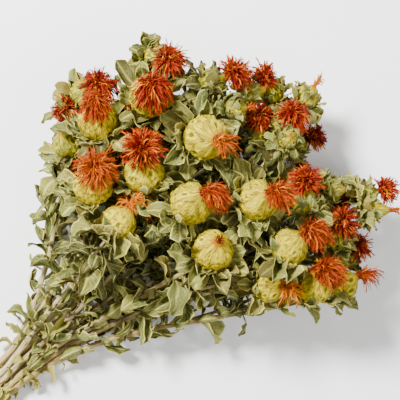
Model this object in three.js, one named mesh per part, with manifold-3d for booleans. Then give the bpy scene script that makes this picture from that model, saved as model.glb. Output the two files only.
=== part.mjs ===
// A bunch of dried safflower lying on a level surface. Fourteen branching stems run side by side
// from their cut ends and then spread into a fan. Each one carries leaves, and round green flower
// heads in a collar of leafy bracts. A tuft of dried florets stands in the mouth of most heads.
// Millimetres, +Z up, +X from the cut ends to the flowers, +Y to the left of that way.
// Until the last section, x = 0 is where the stems begin to spread.
import * as THREE from "three";
import { mergeVertices } from "three/addons/utils/BufferGeometryUtils.js";
import Module from "manifold-3d";

// Driving dimensions
const CLEARANCE = 0.3;
const STEM_RADIUS = 3;
const TWIG_RADIUS = 1.8;
const TIP_RADIUS = 1.5;
const CUT_LENGTH = [84, 110];
const BLADE_THICKNESS = 0.8;
const LEAF_LENGTH = [16, 27];
const SHORTEST_EDGE = 0.05;
const MIDDLE = new THREE.Vector3(123.5, -4.5, 0);

// Shares of the globe's radius, and of a blade's length
const NECK_HEIGHT = 1.1;
const NECK_RADIUS = 0.24;
const BRACT_LENGTH = 1.25;
const BRACT_BREADTH = 0.66;
const LEAF_BREADTH = 0.58;

// The stems are stacked like logs, in rows that start on the surface
const STEM_PITCH = 2 * STEM_RADIUS + CLEARANCE;
const ROW_RISE = STEM_PITCH * Math.sin(Math.PI / 3);
const FIRST_ROW = STEM_RADIUS * Math.cos(Math.PI / 6);

const GREEN = 0xb9b56c;
const ORANGE = 0xc8501e;

// A unit vector, given in degrees to the left of +X and in degrees above level
function direction(turn, lift) {
  const [a, b] = [turn, lift].map(THREE.MathUtils.degToRad);
  return new THREE.Vector3(Math.cos(a) * Math.cos(b), Math.sin(a) * Math.cos(b), Math.sin(b));
}

// Tufts: the way that their longest florets point, and how far those reach from the tuft's middle
const full = (turn, lift, reach) => ({ longest: direction(turn, lift), reach, shortest: 0.72, focus: 1 });
const fan = (turn, lift, reach) => ({ longest: direction(turn, lift), reach, shortest: 0.34, focus: 2 });
const wisp = (turn, lift, reach) => ({ longest: direction(turn, lift), reach, shortest: 0.3, focus: 4 });

// Heads: the middle of the globe, its radius, the way that its mouth faces, how far along the
// main stem its branch forks off, and its tuft. The first head of a spray ends the main stem.
const head = (x, y, z, radius, turn, lift, fork, tuft, more) =>
  ({ middle: new THREE.Vector3(x, y, z), radius, way: direction(turn, lift), fork, tuft,
    neck: NECK_HEIGHT, bow: [0, 0, 0], ...more });
const BUD = { neck: 1.35 };
const FLASK = { neck: 1.75 };

const SPRAYS = {
  a: { row: 0, y: 2, heads: [
    head(205, 121, 80, 12, -13, 50, 1, full(-13, 50, 16.5)),
    head(186, 111, 70, 9, 82, 45, 0.45, full(100, 45, 13.5)),
    head(168, 102, 76, 12, 70, 40, 0.35, null, { bow: [-8, 14, 0] }),
    head(205, 84, 11.5, 12.3, 50, -8, 0.4, full(50, 0, 11)) ] },
  b: { row: 2, y: 2, heads: [
    head(264, 103, 75, 11, -45, 58, 1, full(-60, 45, 15)),
    head(198, 97, 98, 15.5, 47, 50, 0.4, fan(-133, 60, 18)) ] },
  c: { row: 1, y: 1.5, heads: [
    head(241, 82, 104, 17, 30, 72, 1, full(-133, 60, 17.5)),
    head(218, 74, 68, 9, 60, 50, 0.4, full(30, 50, 15)) ] },
  d: { row: 2, y: 1, heads: [
    head(196, 42, 102, 15.5, 47, 42, 1, full(47, 42, 18)),
    head(161, 62, 102, 15, 33, 53, 0.35, full(20, 60, 17.5)),
    head(156, 28, 100, 14, 11, 16, 0.28, full(11, 30, 15)) ] },
  e: { row: 0, y: 1, heads: [
    head(284, 59, 84, 11, -18, 12, 1, full(-18, 12, 15)),
    head(302, 33, 70, 9, -29, 5, 0.6, null, BUD),
    head(282, 31, 86, 9.5, -33, 15, 0.53, wisp(-33, 15, 7)),
    head(262, 58, 10.4, 11.2, 20, -5, 0.35, full(20, 5, 11)) ] },
  f: { row: 1, y: 0.5, heads: [
    head(250, 30, 112, 17, -60, 61, 1, fan(-58, 35, 16)),
    head(316, 22, 56, 10, 77, 40, 0.5, full(77, 40, 13)) ] },
  g: { row: 2, y: 0, heads: [
    head(207, 1, 114, 16, -5, 44, 1, fan(-60, 25, 18)),
    head(250, -1, 82, 8.5, -12, 15, 0.5, null, BUD) ] },
  h: { row: 0, y: 0, heads: [
    head(334, 0, 54, 10, 12, 15, 1, wisp(12, 15, 10)),
    head(302, -4, 70, 11, 10, 55, 0.55, full(0, 50, 16)),
    head(287, 5, 62, 9, 57, 45, 0.5, full(70, 45, 14)),
    head(236, 12, 11.5, 12.3, -10, -12, 0.35, wisp(-10, 10, 12)) ] },
  i: { row: 1, y: -0.5, heads: [
    head(246, -32, 110, 15.5, -12, 54, 1, fan(-52, 35, 17)),
    head(296, -14, 98, 7.5, 2, 60, 0.6, null) ] },
  j: { row: 2, y: -1, heads: [
    head(195, -37, 106, 16, 18, 60, 1, wisp(32, 40, 12)),
    head(302, -23, 48, 9, -16, 20, 0.45, full(-16, 20, 12)) ] },
  k: { row: 0, y: -1, heads: [
    head(273, -60, 92, 11, 50, 28, 1, full(50, 28, 15)),
    head(296, -67, 72, 8.5, -43, 8, 0.6, null, BUD),
    head(282, -77, 50, 8.5, -13, 20, 0.5, full(-13, 20, 11)),
    head(276, -36, 10, 10.8, -15, 0, 0.35, full(-15, 5, 11)) ] },
  l: { row: 1, y: -1.5, heads: [
    head(240, -76, 98, 14.5, 5, 27, 1, fan(-60, 25, 19)),
    head(207, -89, 80, 12.5, -38, 40, 0.45, full(-38, 40, 16)) ] },
  m: { row: 0, y: -2, heads: [
    head(271, -97, 74, 10.5, 27, 40, 1, full(27, 40, 14.5)),
    head(316, -91, 48, 9.5, -26, 10, 0.5, full(-26, 10, 12)),
    head(308, -101, 66, 9, -41, 5, 0.6, wisp(-41, 5, 6), FLASK),
    head(225, -68, 11.5, 12.3, -35, -5, 0.35, fan(-35, 5, 13)) ] },
  n: { row: 2, y: -2, heads: [
    head(233, -113, 84, 14, 30, 45, 1, fan(-53, 35, 20)),
    head(269, -115, 52, 9.5, 2, 45, 0.45, full(2, 45, 13)),
    head(251, -129, 64, 13, -13, 5, 0.5, fan(-68, 5, 15)) ] },
};

// The same seed always gives the same draws, between 0 and 1
function seededRandom(seed) {
  let state = seed;
  return () => {
    state = (state + 0x6d2b79f5) | 0;
    let mixed = Math.imul(state ^ (state >>> 15), state | 1);
    mixed ^= mixed + Math.imul(mixed ^ (mixed >>> 7), mixed | 61);
    return ((mixed ^ (mixed >>> 14)) >>> 0) / 2 ** 32;
  };
}

function drawBetween(random, [low, high]) {
  return low + (high - low) * random();
}

const UP = new THREE.Vector3(0, 0, 1);
const FORWARD = new THREE.Vector3(1, 0, 0);
const NOWHERE = new THREE.Vector3();

// A place moved by amounts along any number of vectors
function offset(place, ...steps) {
  const point = place.clone();
  for (const [vector, amount] of steps) {
    point.addScaledVector(vector, amount);
  }
  return point;
}

// A ring of points round an axis. Its first point lies level with the middle.
function ringAround(middle, axis, radius, count, twist = 0) {
  const level = UP.clone().cross(axis).normalize();
  const upright = axis.clone().cross(level);
  return Array.from({ length: count }, (_, k) => {
    const angle = (k + twist) * 2 * Math.PI / count;
    return offset(middle, [level, radius * Math.cos(angle)], [upright, radius * Math.sin(angle)]);
  });
}

// Room already taken: balls that cover every piece placed so far, each with its owner
const taken = [];

function claim(balls, owner) {
  for (const ball of balls) {
    taken.push({ ...ball, owner });
  }
}

// True where no ball comes near a taken one or the surface, apart from what it may grow into
function isClear(balls, mayTouch = () => false) {
  const middle = balls[balls.length >> 1].at;
  const reach = Math.max(...balls.map((ball) => ball.at.distanceTo(middle) + ball.radius)) + CLEARANCE;
  const near = taken.filter((other) =>
    other.at.distanceTo(middle) < reach + other.radius && !mayTouch(other.owner));
  return balls.every((ball) => ball.at.z > ball.radius && near.every((other) =>
    ball.at.distanceTo(other.at) > ball.radius + other.radius + CLEARANCE));
}

// Blades: leaves and leafy bracts with an arched midrib, waved edges and few corners.
// An outline lists half breadths along the midrib, as shares of the blade's length and breadth.

const LEAF_OUTLINE = [[0.5, 0.5], [1, 0.2]];
const BRACT_OUTLINE = [[0.42, 0.48], [0.95, 0.36]];
const FOOT = [0, 0.1];
const ROW_SPACING = 4;
const BALL_RADIUS = 1.2;
const BALL_SPREAD = 0.72;

// The way that a blade sets out and the way that it faces, rising at an angle from a spoke
function growth(spoke, axis, angle) {
  return {
    way: offset(NOWHERE, [spoke, Math.cos(angle)], [axis, Math.sin(angle)]),
    face: offset(NOWHERE, [axis, Math.cos(angle)], [spoke, -Math.sin(angle)]),
  };
}

function bladePoint({ root, way, face, length, curl }, share, side, lift) {
  const angle = curl * share;
  const along = Math.sin(angle) / curl * length;
  const rise = (1 - Math.cos(angle)) / curl * length;
  const across = face.clone().cross(way);
  return offset(root, [way, along - lift * Math.sin(angle)], [face, rise + lift * Math.cos(angle)],
    [across, side]);
}

// The four corners of the blade's section at each point of its outline
function bladeSections(blade) {
  const half = BLADE_THICKNESS / 2;
  return blade.outline.map(([share, breadth], k) =>
    [[-1, -half], [1, -half], [1, half], [-1, half]].map(([side, lift]) =>
      bladePoint(blade, share, side * breadth * blade.breadth, lift + side * blade.wave[k])));
}

// Rows of three balls that cover the blade, from a share of its length to its end
function bladeBalls(blade, from) {
  const outline = [FOOT, ...blade.outline];
  const end = outline[outline.length - 1][0];
  const rows = Math.ceil(blade.length / ROW_SPACING);
  const balls = [];
  for (let row = 0; row <= rows; row++) {
    const share = THREE.MathUtils.lerp(from, end, row / rows);
    const k = share > outline[1][0] ? 2 : 1;
    const half = THREE.MathUtils.mapLinear(share, outline[k - 1][0], outline[k][0],
      outline[k - 1][1], outline[k][1]) * blade.breadth;
    for (const side of [-BALL_SPREAD, 0, BALL_SPREAD]) {
      const at = bladePoint(blade, share, side * half, side * blade.wave[1]);
      balls.push({ at, radius: BALL_RADIUS + half * (1 - BALL_SPREAD) });
    }
  }
  return balls;
}

// The facet between two rings that a blade grows from: its middle, and the way out from the axis
function footing(low, high, side, centre, axis) {
  const next = (side + 1) % low.length;
  const root = offset(low[side], [low[next], 1], [high[side], 1], [high[next], 1]).divideScalar(4);
  const spoke = root.clone().sub(centre).projectOnPlane(axis).normalize();
  return { side, root, spoke };
}

// Skins

const wasm = await Module();
wasm.setup();

function solidFrom(positions, indices) {
  const vertProperties = new Float32Array(positions);
  const triVerts = new Uint32Array(indices);
  return new wasm.Manifold(new wasm.Mesh({ numProp: 3, vertProperties, triVerts }));
}

function solidOver(points, faces) {
  return solidFrom(points.flatMap((point) => point.toArray()), faces.flat());
}

// The skin of a blade between the four corners of one section and those of the next one. Both
// faces of the blade are split along the same diagonal, so that a wave never makes them cross.
function bladeBand(faces, near, far) {
  near.forEach((corner, k) => {
    const next = (k + 1) % 4;
    if (k < 2) faces.push([corner, near[next], far[next]], [corner, far[next], far[k]]);
    else faces.push([corner, near[next], far[k]], [near[next], far[next], far[k]]);
  });
}

// A skin over rings of equal counts, closed flat at both ends. A blade grows out of a facet,
// whose four corners are its foot.
function loft(rings, blades) {
  const points = rings.flat();
  const count = rings[0].length;
  const faces = [];
  for (let row = 0; row + 1 < rings.length; row++) {
    for (let k = 0; k < count; k++) {
      const [a, b] = [row * count + k, row * count + (k + 1) % count];
      const blade = blades.find((one) => one.row === row && one.side === k);
      let foot = [a, b, b + count, a + count];
      for (const section of blade ? bladeSections(blade) : []) {
        const far = section.map((point) => points.push(point) - 1);
        bladeBand(faces, foot, far);
        foot = far;
      }
      faces.push([foot[0], foot[1], foot[2]], [foot[0], foot[2], foot[3]]);
    }
  }
  const last = (rings.length - 1) * count;
  for (let k = 1; k + 1 < count; k++) {
    faces.push([0, k + 1, k], [last, last + k, last + k + 1]);
  }
  return solidOver(points, faces);
}

// Globes: staggered rows of scales from the base to the neck. Bracts grow from every other facet
// of a thin row round the base.

const BIG_GLOBE = 12;
const BASE_ANGLE = THREE.MathUtils.degToRad(42);
const SCALE_ROWS = [84, 124].map(THREE.MathUtils.degToRad);
const SCALE_RELIEF = 0.035;
const BRACT_CURL = 1.1;
const BRACT_SLOPE = [0, 0.3];
const BRACT_SIZE = [0.9, 1.15];
const BRACT_WAVE = [-0.06, 0.06];
const BRACT_RISES = [0, -0.4, 0.1, -0.8];
const COLLAR_SHARE = 0.3;

function globeSides(flower) {
  return flower.radius > BIG_GLOBE ? 10 : 8;
}

function neckOf({ middle, way, radius, neck }) {
  return offset(middle, [way, radius * neck]);
}

function globeRing({ middle, radius, way }, angle, sides, twist, shift = 0) {
  const centre = offset(middle, [way, shift - radius * Math.cos(angle)]);
  return ringAround(centre, way, radius * Math.sin(angle), sides, twist);
}

function baseRings(flower) {
  return [0, BLADE_THICKNESS].map((shift) => globeRing(flower, BASE_ANGLE, globeSides(flower), 0, shift));
}

function globe(flower) {
  const { middle, radius, way } = flower;
  const sides = globeSides(flower);
  const relief = (k) => 1 + SCALE_RELIEF * (k % 2 ? -1 : 1);
  const scales = SCALE_ROWS.map((angle, row) => globeRing(flower, angle, sides, (row + 1) / 2)
    .map((point, k) => offset(middle, [point.sub(middle), relief(k)])));
  const neck = ringAround(neckOf(flower), way, radius * NECK_RADIUS, sides, (SCALE_ROWS.length + 1) / 2);
  return loft([...baseRings(flower), ...scales, neck], flower.bracts);
}

const NECK_BALL = { below: 0.27, radius: 0.36 };

function globeBalls({ middle, radius, way, neck }) {
  return [
    { at: middle, radius: radius * (1 + SCALE_RELIEF) },
    { at: offset(middle, [way, radius * (neck - NECK_BALL.below)]), radius: radius * NECK_BALL.radius }];
}

function bracts(spray, flower, random) {
  const { middle, radius, way } = flower;
  const [low, high] = baseRings(flower);
  const mayTouch = (owner) => owner.globe === flower || owner.collar === flower || owner.stem === spray;
  const blades = [];
  for (let side = 0; side < low.length; side += 2) {
    const foot = footing(low, high, side, middle, way);
    const slope = drawBetween(random, BRACT_SLOPE);
    const length = radius * BRACT_LENGTH * drawBetween(random, BRACT_SIZE);
    const wave = BRACT_OUTLINE.map(() => radius * drawBetween(random, BRACT_WAVE));
    const blade = BRACT_RISES.map((rise) => ({
      ...foot, ...growth(foot.spoke, way, slope + rise), row: 0, outline: BRACT_OUTLINE,
      length, breadth: length * BRACT_BREADTH, curl: BRACT_CURL, wave,
    })).find((one) => isClear(bladeBalls(one, COLLAR_SHARE), mayTouch));
    if (!blade) continue;
    claim(bladeBalls(blade, FOOT[1]), { collar: flower });
    blades.push(blade);
  }
  return blades;
}

// Tufts: a small core with a three-sided spike of florets drawn out of each facet. The core's
// rings are given as heights and radii in shares of the core.

const BIG_TUFT = 14;
const CORE_SHARE = 0.28;
const CORE_RINGS = [[-1.2, 0.4], [0, 1], [0.65, 0.7]];
const STUB = 1;
const SPIKE_SLANT = [0.4, 1.4];
const SPIKE_LENGTH = [0.8, 1.1];
const SPIKE_COVER = [0.3, 0.5, 0.7, 0.85, 1];

function tuft(flower, random) {
  const { way, tuft: { longest, reach, shortest, focus } } = flower;
  const sides = reach > BIG_TUFT ? 6 : 5;
  const core = reach * CORE_SHARE;
  const middle = offset(neckOf(flower), [way, CLEARANCE - CORE_RINGS[0][0] * core]);
  const rings = CORE_RINGS.map(([height, radius], row) =>
    ringAround(offset(middle, [way, height * core]), way, radius * core, sides, row / 2));
  const points = [...rings.flat(), offset(middle, [way, core])];
  const faces = [];
  const balls = [{ at: middle, radius: core }];

  // Each spike is shortened until it is clear of everything else
  const spike = (...facet) => {
    const shares = facet.map(() => drawBetween(random, SPIKE_SLANT));
    const total = shares[0] + shares[1] + shares[2];
    const foot = offset(NOWHERE, ...facet.map((index, k) =>
      [points[index].clone().sub(middle), shares[k] / total]));
    const aim = foot.clone().normalize();
    const lean = ((1 + aim.dot(longest)) / 2) ** focus;
    const start = foot.length();
    let length = reach * THREE.MathUtils.lerp(shortest, 1, lean) * drawBetween(random, SPIKE_LENGTH);
    const cover = () => SPIKE_COVER.map((share) => ({
      at: offset(middle, [aim, THREE.MathUtils.lerp(start, length, share)]),
      radius: CLEARANCE + CORE_SHARE * core * (1 - share) }));
    while (length > start + STUB && !isClear(cover())) length -= 1;
    if (length > start + STUB) balls.push(...cover());
    const tip = points.push(offset(middle, [aim, length])) - 1;
    facet.forEach((index, k) => faces.push([index, facet[(k + 1) % 3], tip]));
  };

  const crown = 3 * sides;
  for (let k = 0; k < sides; k++) {
    const next = (k + 1) % sides;
    const [base, girdle, shoulder] = [0, sides, 2 * sides].map((first) => [first + k, first + next]);
    faces.push([...base, girdle[0]]);
    spike(base[1], girdle[1], girdle[0]);
    spike(...girdle, shoulder[0]);
    spike(girdle[1], shoulder[1], shoulder[0]);
    spike(...shoulder, crown);
    if (k > 0 && next > 0) faces.push([0, next, k]);
  }
  claim(balls, { tuft: flower });
  return solidOver(points, faces);
}

// Stems: tapered tubes along curves, with a thin row of facets wherever leaves grow

const MAIN_NODES = [0.13, 0.26, 0.39, 0.52, 0.65, 0.78];
const MAIN_STEM = { radii: [STEM_RADIUS, TWIG_RADIUS], sides: 6, nodes: MAIN_NODES };
const TWIG = { radii: [TWIG_RADIUS, TIP_RADIUS], sides: 5, nodes: [0.35, 0.72], cutLength: 0 };
const BENDS = [0, 7, 14, 21, 28];
const BEND_WAYS = 8;
const START_SHARE = 0.35;
const END_SHARE = 0.3;
const END_REACH = 30;
const SUNK = 0.6;
const BUNDLED = 35;
const LEANING = 0.15;
const BALL_STEP = 1.5;
const BALL_MARGIN = 0.1;

// From a start into the base of a globe, by way of a bow
function stemCurve(start, startWay, flower, bow) {
  const { middle, way, radius } = flower;
  const end = offset(middle, [way, -SUNK * radius]);
  const span = start.distanceTo(end);
  return new THREE.CubicBezierCurve3(
    start,
    offset(start, [startWay, span * START_SHARE], [bow, 1]),
    offset(end, [way, -Math.min(span * END_SHARE, END_REACH)], [bow, 1]),
    end);
}

function stemBalls({ curve, radii }, from = -Infinity) {
  const steps = Math.ceil(curve.getLength() / BALL_STEP);
  const balls = Array.from({ length: steps + 1 }, (_, k) => ({
    at: curve.getPoint(k / steps),
    radius: BALL_MARGIN + THREE.MathUtils.lerp(...radii, k / steps),
  }));
  return balls.filter(({ at }) => at.x > from);
}

// The first of a set of ever wider bends that passes clear of everything
function clearCurve(start, startWay, flower, kind, from, mayTouch) {
  for (const size of BENDS) {
    for (let k = 0; k < (size ? BEND_WAYS : 1); k++) {
      const angle = k * 2 * Math.PI / BEND_WAYS;
      const [x, y, z] = flower.bow;
      const bow = new THREE.Vector3(x, y + size * Math.cos(angle), z + size * Math.sin(angle));
      const curve = stemCurve(start, startWay, flower, bow);
      if (isClear(stemBalls({ ...kind, curve }, from), mayTouch)) return curve;
    }
  }
  throw new Error("a stem finds no clear way to its head");
}

function stemRing({ curve, radii, sides }, t) {
  return ringAround(curve.getPoint(t), curve.getTangent(t), THREE.MathUtils.lerp(...radii, t), sides);
}

// The two rings of the thin row at a node
function nodeRings(stem, node) {
  return [node, node + BLADE_THICKNESS / stem.curve.getLength()].map((t) => stemRing(stem, t));
}

function tube(stem) {
  const { cutLength, nodes, leaves } = stem;
  const first = stemRing(stem, 0);
  const cut = cutLength ? [first.map((point) => offset(point, [FORWARD, -cutLength]))] : [];
  const rows = nodes.flatMap((node) => nodeRings(stem, node));
  return loft([...cut, first, ...rows, stemRing(stem, 1)], leaves);
}

const GOLDEN_TURN = (3 - Math.sqrt(5)) / 2;
const LEAVES_AT_NODE = 2;
const LEAF_SIZES = [1, 0.75];
const LEAF_SPREADS = [1, 0.6, 1.6];
const LEAF_ANGLE = [0.7, 1.2];
const LEAF_CURL = [0.5, 1.4];
const LEAF_WAVE = [[-1.5, 1.5], [-1, 1]];
const SHARE_BENT_BACK = 0.65;
const FREE_OF_LEAVES = 0.2;
const FREE_OF_STEM = 0.35;

// Two leaves at each node, on facets that aren't neighbours, in a spiral up the stem
function leaves(stem, random) {
  const { spray, curve, sides, nodes, cutLength } = stem;
  const ownStem = (owner) => owner.stem === spray;
  const crowds = (one) => (other) =>
    other.row === one.row && Math.abs(other.side - one.side) % (sides - 1) < 2;
  const blades = [];
  nodes.forEach((node, index) => {
    const [low, high] = nodeRings(stem, node);
    const [centre, axis] = [curve.getPoint(node), curve.getTangent(node)];
    const spin = index * GOLDEN_TURN + random();
    const row = 2 * index + (cutLength ? 2 : 1);
    for (let count = 0; count < LEAVES_AT_NODE; count++) {
      const angle = drawBetween(random, LEAF_ANGLE);
      const length = drawBetween(random, LEAF_LENGTH);
      const curl = (random() < SHARE_BENT_BACK ? -1 : 1) * drawBetween(random, LEAF_CURL);
      const wave = LEAF_WAVE.map((range) => drawBetween(random, range));
      const tries = LEAF_SIZES.flatMap((size) => Array.from({ length: sides }, (_, shift) => {
        const side = Math.floor((spin + count / LEAVES_AT_NODE) * sides + shift) % sides;
        const foot = footing(low, high, side, centre, axis);
        return LEAF_SPREADS.map((spread) => ({
          ...foot, ...growth(foot.spoke, axis, Math.PI / 2 - angle * spread), row,
          length: length * size, breadth: length * size * LEAF_BREADTH, curl, wave,
          outline: LEAF_OUTLINE,
        }));
      }).flat());
      const blade = tries.find((one) =>
        !blades.some(crowds(one))
        && isClear(bladeBalls(one, FREE_OF_LEAVES), ownStem)
        && isClear(bladeBalls(one, FREE_OF_STEM)));
      if (!blade) continue;
      claim(bladeBalls(blade, FOOT[1]), { leaf: spray });
      blades.push(blade);
    }
  });
  return blades;
}

// Placement: heads, then tufts, main stems, branches, bracts and leaves, each bent clear of what
// is there already

const sprays = Object.entries(SPRAYS).map(([name, { row, y, heads }], index) => {
  for (const flower of heads) claim(globeBalls(flower), { globe: flower });
  const foot = new THREE.Vector3(0, y * STEM_PITCH, FIRST_ROW + row * ROW_RISE);
  const draws = (item, kind) => seededRandom(100 * index + 10 * item + kind);
  return { name, foot, heads, draws, stems: [], tufts: [] };
});

for (const { heads, draws, tufts } of sprays) {
  heads.forEach((flower, k) => {
    if (flower.tuft) tufts.push(tuft(flower, draws(k, 1)));
  });
}

function addStem(spray, stem) {
  claim(stemBalls(stem), { stem: spray });
  spray.stems.push({ ...stem, spray });
}

// The unit vector from one place to another
function towards(from, to) {
  return to.clone().sub(from).normalize();
}

for (const spray of sprays) {
  const [flower] = spray.heads;
  const startWay = offset(FORWARD, [towards(spray.foot, flower.middle), LEANING]).normalize();
  const curve = clearCurve(spray.foot, startWay, flower, MAIN_STEM, BUNDLED,
    (owner) => owner.globe === flower);
  const cutLength = drawBetween(spray.draws(0, 2), CUT_LENGTH);
  addStem(spray, { ...MAIN_STEM, curve, cutLength });
}

for (const spray of sprays) {
  const main = spray.stems[0].curve;
  for (const flower of spray.heads.slice(1)) {
    const start = main.getPoint(flower.fork);
    const startWay = towards(start, flower.middle).add(main.getTangent(flower.fork)).normalize();
    const curve = clearCurve(start, startWay, flower, TWIG, -Infinity,
      (owner) => owner.globe === flower || owner.stem === spray);
    addStem(spray, { ...TWIG, curve });
  }
}

for (const spray of sprays) {
  spray.heads.forEach((flower, k) => {
    flower.bracts = bracts(spray, flower, spray.draws(k, 3));
  });
}

for (const spray of sprays) {
  spray.stems.forEach((stem, k) => {
    stem.leaves = leaves(stem, spray.draws(k, 4));
  });
}

// Assembly

const SURFACE = 900;

function belowSurface() {
  const block = new THREE.BoxGeometry(SURFACE, SURFACE, SURFACE).translate(0, 0, -SURFACE / 2);
  block.deleteAttribute("normal");
  block.deleteAttribute("uv");
  const { attributes, index } = mergeVertices(block);
  return solidFrom(attributes.position.array, index.array);
}

// One body: what lies below the surface goes, and so do loose scraps and sealed hollows
function fuse(solids) {
  const joined = solids.reduce((whole, solid) => whole.add(solid)).subtract(belowSurface());
  const body = joined.decompose().reduce((a, b) => (a.volume() > b.volume() ? a : b));
  return body.simplify(SHORTEST_EDGE);
}

function meshOf(name, solid, color) {
  const { vertProperties, triVerts } = solid.getMesh();
  const geometry = new THREE.BufferGeometry();
  geometry.setAttribute("position", new THREE.BufferAttribute(vertProperties, 3));
  geometry.setIndex(new THREE.BufferAttribute(triVerts, 1));
  geometry.computeVertexNormals();
  const material = new THREE.MeshStandardMaterial({ color, roughness: 0.85, metalness: 0 });
  const mesh = new THREE.Mesh(geometry, material);
  mesh.name = name;
  return mesh;
}

const group = new THREE.Group();
group.position.copy(MIDDLE).negate();
for (const { name, stems, heads } of sprays) {
  group.add(meshOf(`spray_${name}`, fuse([...stems.map(tube), ...heads.map(globe)]), GREEN));
}
sprays.flatMap(({ tufts }) => tufts).forEach((solid, k) => {
  group.add(meshOf(`tuft_${String(k + 1).padStart(2, "0")}`, solid, ORANGE));
});

export default group;
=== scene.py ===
import math
from types import SimpleNamespace as Thing

import bpy
import numpy as np
from mathutils import Matrix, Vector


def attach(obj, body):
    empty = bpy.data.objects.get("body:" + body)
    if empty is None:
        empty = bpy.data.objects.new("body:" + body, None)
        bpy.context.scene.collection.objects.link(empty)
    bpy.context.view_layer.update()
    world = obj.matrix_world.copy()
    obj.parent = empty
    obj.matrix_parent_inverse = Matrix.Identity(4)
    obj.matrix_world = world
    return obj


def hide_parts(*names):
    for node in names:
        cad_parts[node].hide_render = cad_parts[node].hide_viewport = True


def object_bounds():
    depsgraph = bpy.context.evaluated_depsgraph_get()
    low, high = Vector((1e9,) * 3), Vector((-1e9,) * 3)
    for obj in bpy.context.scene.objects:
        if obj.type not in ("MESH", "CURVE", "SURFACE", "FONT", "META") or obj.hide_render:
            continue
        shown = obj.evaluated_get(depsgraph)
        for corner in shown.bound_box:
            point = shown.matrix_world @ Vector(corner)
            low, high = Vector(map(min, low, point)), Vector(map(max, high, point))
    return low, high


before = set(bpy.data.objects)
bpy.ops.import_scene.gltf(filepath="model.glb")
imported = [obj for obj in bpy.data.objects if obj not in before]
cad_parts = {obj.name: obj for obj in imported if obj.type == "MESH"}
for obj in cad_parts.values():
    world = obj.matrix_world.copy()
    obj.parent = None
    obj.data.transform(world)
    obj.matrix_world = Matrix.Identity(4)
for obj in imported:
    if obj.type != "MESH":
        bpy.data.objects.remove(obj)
cad_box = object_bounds()

# A bunch of dried safflower lying on a level surface. The first half of this script lays the
# bunch out again from the same table, formulas and seeds as the CAD model, in millimetres with
# x = 0 where the stems begin to spread. The second half grows fine stems, leaves, heads and
# florets there, and moves them to the frame in metres.

# The frame's origin on the bunch, then sizes that the CAD model has too
MIDDLE = np.array([123.5, -4.5, 0.0])
CLEARANCE = 0.3
STEM_RADIUS = 3.0
TWIG_RADIUS = 1.8
TIP_RADIUS = 1.5
CUT_LENGTH = (84, 110)
BLADE_THICKNESS = 0.8
LEAF_LENGTH = (16, 27)
NECK_HEIGHT = 1.1
BRACT_LENGTH = 1.25
BRACT_BREADTH = 0.66
LEAF_BREADTH = 0.58
STEM_PITCH = 2 * STEM_RADIUS + CLEARANCE
ROW_RISE = STEM_PITCH * math.sin(math.pi / 3)
FIRST_ROW = STEM_RADIUS * math.cos(math.pi / 6)

MILLIMETRES = 1000
TURN = 2 * math.pi
UP = np.array([0.0, 0.0, 1.0])
FORWARD = np.array([1.0, 0.0, 0.0])

# The photo looks straight down, and the bunch points up to the right in it
TILT = math.radians(43)
IMAGE_RIGHT = np.array([math.cos(TILT), -math.sin(TILT), 0])
IMAGE_UP = np.array([math.sin(TILT), math.cos(TILT), 0])


def unit(vector):
    return vector / math.sqrt(vector @ vector)


def direction(turn, lift):
    a, b = math.radians(turn), math.radians(lift)
    return np.array([math.cos(a) * math.cos(b), math.sin(a) * math.cos(b), math.sin(b)])


def tuft_kind(shortest, focus):
    """A maker of tufts: how short they are on their far side, and how far they favour one side."""
    return lambda turn, lift, reach: Thing(longest=direction(turn, lift), reach=reach,
                                           shortest=shortest, focus=focus)


full = tuft_kind(0.72, 1)
fan = tuft_kind(0.34, 2)
wisp = tuft_kind(0.3, 4)


def head(x, y, z, radius, turn, lift, fork, tuft=None, neck=NECK_HEIGHT, bow=(0, 0, 0)):
    return Thing(middle=np.array([x, y, z], float), radius=radius, way=direction(turn, lift),
                 fork=fork, tuft=tuft, neck=neck, bow=bow)


# Neck heights, in radii, of a closed bud and of a long-necked head
BUD = 1.35
FLASK = 1.75

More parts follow.
